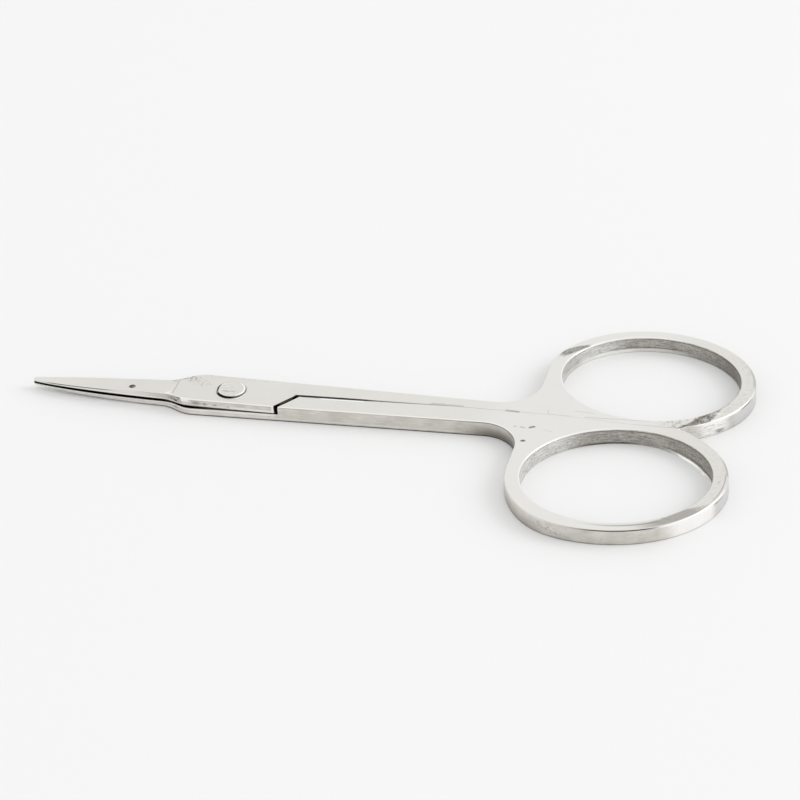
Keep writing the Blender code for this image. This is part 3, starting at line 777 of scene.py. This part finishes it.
# Blade: its trimmed side is brighter, with a painted highlight and a painted dark line under the flat, and the test
# dimple, its hollow painted as a dark spot with a lighter patch.
blade_side = above_gap * upper_steel.between(upper_steel.x, -10.0, -13.0)
upper_steel.coat(blade_side * (0.4 + speckled * 0.5), shade(236, 234, 230))
under_flat = 2.1 - (-7.0 - upper_steel.x) * 0.0314 - upper_steel.z
on_blade = wall * upper_steel.band(upper_steel.x, -14.2, -16.5, -23.0, -25.0)
upper_steel.coat(upper_steel.between(under_flat, 0.12, 0.06) * on_blade * 0.7, shade(253, 252, 249), 0.3)
flat_line = upper_steel.line(under_flat, 0.19, 0.1, 0.04) * on_blade
upper_steel.coat(flat_line * (0.55 + speckled * 0.6), shade(112, 107, 99))
upper_steel.coat(upper_steel.spot((-12.7, -0.85), 0.84, 0.8, 0.15) * top, shade(92, 88, 81), 0.5)
upper_steel.coat(upper_steel.spot((-12.45, -0.95), 0.34, 0.5, 0.5) * top * 0.5, shade(170, 167, 160), 0.4)

# Painted shade: a black ring round the rivet, a little to its right, widest on the near side, with a painted highlight
# beside it on the lit side.
from_rivet, toward = upper_steel.round_rivet()
ring_width = 1.82 + upper_steel.between(toward, -0.1, 0.9) * 0.1
ring = upper_steel.between(from_rivet, ring_width + 0.12, ring_width) * top
lit_side = upper_steel.between(upper_steel.x, 0.2, 1.2) * upper_steel.between(upper_steel.y, -0.2, -1.0)
lit_ring = lit_side * upper_steel.line(from_rivet, 2.06, 0.12, 0.05)
upper_steel.coat(lit_ring * top * 0.7, shade(252, 251, 248), 0.3)
ring_strength = 0.45 + upper_steel.between(toward, -0.6, 0.4) * 0.55 - lit_side * 0.3
upper_steel.coat(ring * ring_strength * upper_steel.between(upper_steel.x, -1.78, -1.66), shade(22, 19, 15), 0.6)

# Far end of the bow, polished over by hand: its dark reflection painted in a wedge from the crotch to the hole's edge,
# with a light patch and brushed streaks.
streaks = upper_steel.cloud(2.6, (1.0, 0.5, 1), detail=5, roughness=0.7, shift=11)
wedge_near = (-40.5 - around) * 0.1 + (cloudy - 0.5) * 0.7 + (streaks - 0.5) * 0.8
wedge_far = ((-22.0 - around) * 0.095 + (cloudy - 0.5) * 0.8).most(upper_steel.between(around, -10.0, -15.0) * 0.17)
wedge = upper_steel.between(out, wedge_near - 0.15, wedge_near + 0.15) * upper_steel.between(around, -60.5, -57.0)
wedge = wedge * upper_steel.between(out, wedge_far + 0.1, wedge_far - 0.1)
wedge_colour = upper_steel.mix(upper_steel.between(streaks, 0.42, 0.6), shade(112, 108, 102), shade(192, 189, 183))
wedge_colour = upper_steel.mix(upper_steel.between(around, -44.0, -52.0) * 0.6, wedge_colour, shade(124, 119, 112))
upper_steel.coat(wedge * top, wedge_colour, 0.4)
patch = upper_steel.spot((-28.8 * 0.2, 0.75), 1.0, 0.6, 0.6, (around * 0.2 + wander * 0.5, out + wander * 0.5))
upper_steel.coat(patch * top * 0.7, shade(246, 245, 242), 0.3)
brushed = upper_steel.band(around, -70.0, -60.0, -46.0, -36.0) * (1 - wedge)
upper_steel.coat(brushed * top * upper_steel.between(streaks, 0.52, 0.4) * 0.7, shade(180, 177, 172))
# Painted highlight on the far end's edge, and a painted dark line on its side.
bright_edge = upper_steel.band(upper_steel.z, 1.77, 1.83, 1.96, 2.03)
upper_steel.coat(
    bright_edge * upper_steel.between(out, 1.3, 1.45)
    * upper_steel.band(around, -50.0, -45.0, 2.0, 14.0), shade(255, 255, 253), 0.25,
)
upper_steel.coat(
    rim_side * upper_steel.line(upper_steel.z, 1.84, 0.1, 0.05)
    * upper_steel.band(around, -17.0, -12.0, -3.0, 2.0) * 0.9, shade(84, 80, 74),
)
# A smudge, and wear on the flat.
off_smudge = abs(out - 0.25 - (around - 151) * 0.052 + (cloudy - 0.5) * 0.7)
smudge_reach = 0.2 + upper_steel.between(around, 152.0, 164.0) * 0.25
smudge = upper_steel.between(off_smudge, smudge_reach + 0.25, smudge_reach)
smudge = smudge * upper_steel.band(around, 148.0, 154.0, 169.0, 175.0)
upper_steel.coat(smudge * top * (0.1 + streaks * 1.3), shade(130, 126, 119), 0.4)
worn = upper_steel.line(around, 8, 60.0, 30.0) * upper_steel.between(out, 0.2, 0.7) * top
upper_steel.coat(worn * upper_steel.between(cloudy, 0.42, 0.7) * 0.5, shade(198, 195, 189), 0.42)
# Painted shade on the bow's right side.
upper_steel.coat(
    upper_steel.between(out, 1.3, 1.5) * upper_steel.between(upper_steel.z, 1.4, 1.7)
    * upper_steel.band(around, 8.0, 14.0, 28.0, 40.0) * 0.7, shade(184, 181, 176),
)
upper_steel.done(upper_half)

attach(upper_half, "upper_half")
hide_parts("upper_blade")


# ---- Rivet -------------------------------------------------------------------------------------
# A solid steel rivet through both plates, pressed over into both countersinks. It is fast in the
# lower half; the upper half turns on it.

rivet_profile = (
    (0, 2.36), (0.64, 2.353), (1.19, 2.335), (1.55, 2.31), (1.7, 2.29), (1.79, 2.25), (1.825, 2.19), (1.825, 2.1),
    (1.1, 1.6), (1.1, 0.5), (1.825, 0), (0, 0),
)
turning = bmesh.new()
pen = turning.verts.new((rivet_profile[0][0], 0, rivet_profile[0][1]))
for radius, height in rivet_profile[1:]:
    point = bmesh.ops.extrude_vert_indiv(turning, verts=[pen])["verts"][0]
    point.co = (radius, 0, height)
    pen = point
bmesh.ops.spin(
    turning, geom=turning.verts[:] + turning.edges[:], cent=(0, 0, 0), axis=(0, 0, 1), angle=math.tau, steps=96,
    use_merge=True,
)
bmesh.ops.remove_doubles(turning, verts=turning.verts, dist=0.0005)
bmesh.ops.recalc_face_normals(turning, faces=turning.faces)
bmesh.ops.scale(turning, vec=(MM, MM, MM), verts=turning.verts)
rivet = finished("pivot_rivet_steel", turning)

rivet_steel = Steel("rivet_pressed_steel", shade(226, 224, 219))
dents = rivet_steel.cloud(1.2, detail=4)
rubbed = rivet_steel.cloud(2, (1, 4, 2), detail=5)
rivet_steel.coat(rivet_steel.between(rubbed, 0.5, 0.75), shade(196, 193, 187), 0.45)
rubbed_line = rivet_steel.stroke((-0.9, -0.75), (0.6, -0.6), 0.1, 0.25)
rivet_steel.coat(rubbed_line * rivet_steel.between(rubbed, 0.4, 0.6) * 0.6, shade(176, 172, 166))
# Painted light on the head: highlights on its rim, and painted shade round its near and far edges.
from_middle, toward = rivet_steel.round_rivet()
rim = rivet_steel.band(from_middle, 1.5, 1.57, 1.68, 1.74)
rivet_steel.coat(rim * rivet_steel.between(rivet_steel.x, 0.7, 1.2), shade(255, 255, 253), 0.22)
rivet_steel.coat(rim * rivet_steel.between(rivet_steel.x, -0.8, -1.3) * 0.5, shade(252, 252, 250), 0.3)
edge = rivet_steel.between(from_middle, 1.69, 1.76) * rivet_steel.between(rivet_steel.z, 1.9, 2.0)
far_edge = edge * rivet_steel.between(toward, 0.0, -0.5) * rivet_steel.between(rivet_steel.y, 0.6, 1.2)
rivet_steel.coat(far_edge * 0.4, shade(140, 136, 130))
lit_side = rivet_steel.between(rivet_steel.x, 0.3, 1.2)
rivet_steel.coat(edge * rivet_steel.between(toward, -0.45, 0.2) * (1 - lit_side * 0.4), shade(20, 17, 14), 0.6)
left_edge = rivet_steel.between(rivet_steel.x, -1.3, -1.6) * rivet_steel.between(rivet_steel.z, 1.9, 2.0)
left_ring = left_edge * rivet_steel.between(from_middle, 1.55, 1.63) * rivet_steel.between(toward, -0.5, 0.1)
rivet_steel.coat(left_ring, shade(20, 17, 14), 0.6)
rivet_steel.coat(left_edge * rivet_steel.between(from_middle, 1.8, 1.84), shade(226, 224, 219))
rivet_steel.height = dents * 0.03
rivet_steel.done(rivet)

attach(rivet, "lower_half")
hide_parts("pivot_rivet")


# ---- Floor, light and camera -------------------------------------------------------------------
# A sheet of white paper in a room with soft white light, brightest behind the scissors and to
# their right.

sheet = bmesh.new()
bmesh.ops.create_grid(sheet, x_segments=1, y_segments=1, size=1.5)
floor_mesh = bpy.data.meshes.new("floor")
sheet.to_mesh(floor_mesh)
sheet.free()
floor = bpy.data.objects.new("floor", floor_mesh)
bpy.context.scene.collection.objects.link(floor)
paper = bpy.data.materials.new("floor_paper")
paper.use_nodes = True
paper.node_tree.nodes["Principled BSDF"].inputs["Base Color"].default_value = (0.835, 0.835, 0.835, 1)
paper.node_tree.nodes["Principled BSDF"].inputs["Roughness"].default_value = 0.9
floor_mesh.materials.append(paper)

world = bpy.data.worlds.new("studio")
world.use_nodes = True
world.node_tree.nodes["Background"].inputs["Color"].default_value = (1, 1, 1, 1)
world.node_tree.nodes["Background"].inputs["Strength"].default_value = 0.97
bpy.context.scene.world = world


def soft_lamp(name, place, target, size, power):
    lamp = bpy.data.lights.new(name, "AREA")
    lamp.shape = "SQUARE"
    lamp.size = size
    lamp.energy = power
    stand = bpy.data.objects.new(name, lamp)
    bpy.context.scene.collection.objects.link(stand)
    stand.location = place
    stand.rotation_euler = (Vector(target) - Vector(place)).to_track_quat("-Z", "Y").to_euler()


soft_lamp("side_lamp", (1.5, 0.4, 0.9), (0.02, 0, 0), 1.0, 9.5)

# The camera as solved from the photograph: its three ways, its focal length in pixels and its place.
right = Vector((0.967987, 0.244553, -0.056521))
up_way = Vector((-0.084581, 0.529824, 0.843879))
forward = Vector((-0.236320, 0.812084, -0.533548))
lens = bpy.data.cameras.new("camera")
lens.sensor_width = 36
lens.lens = 3260.03 / 800 * 36
lens.clip_start = 0.01
camera = bpy.data.objects.new("camera", lens)
bpy.context.scene.collection.objects.link(camera)
stand_at = Matrix.Translation(Vector((116.2948, -324.9047, 216.2694)) * MM)
camera.matrix_world = stand_at @ Matrix((right, up_way, -forward)).transposed().to_4x4()
bpy.context.scene.camera = camera
bpy.context.scene.view_settings.view_transform = "Standard"

bpy.context.view_layer.update()
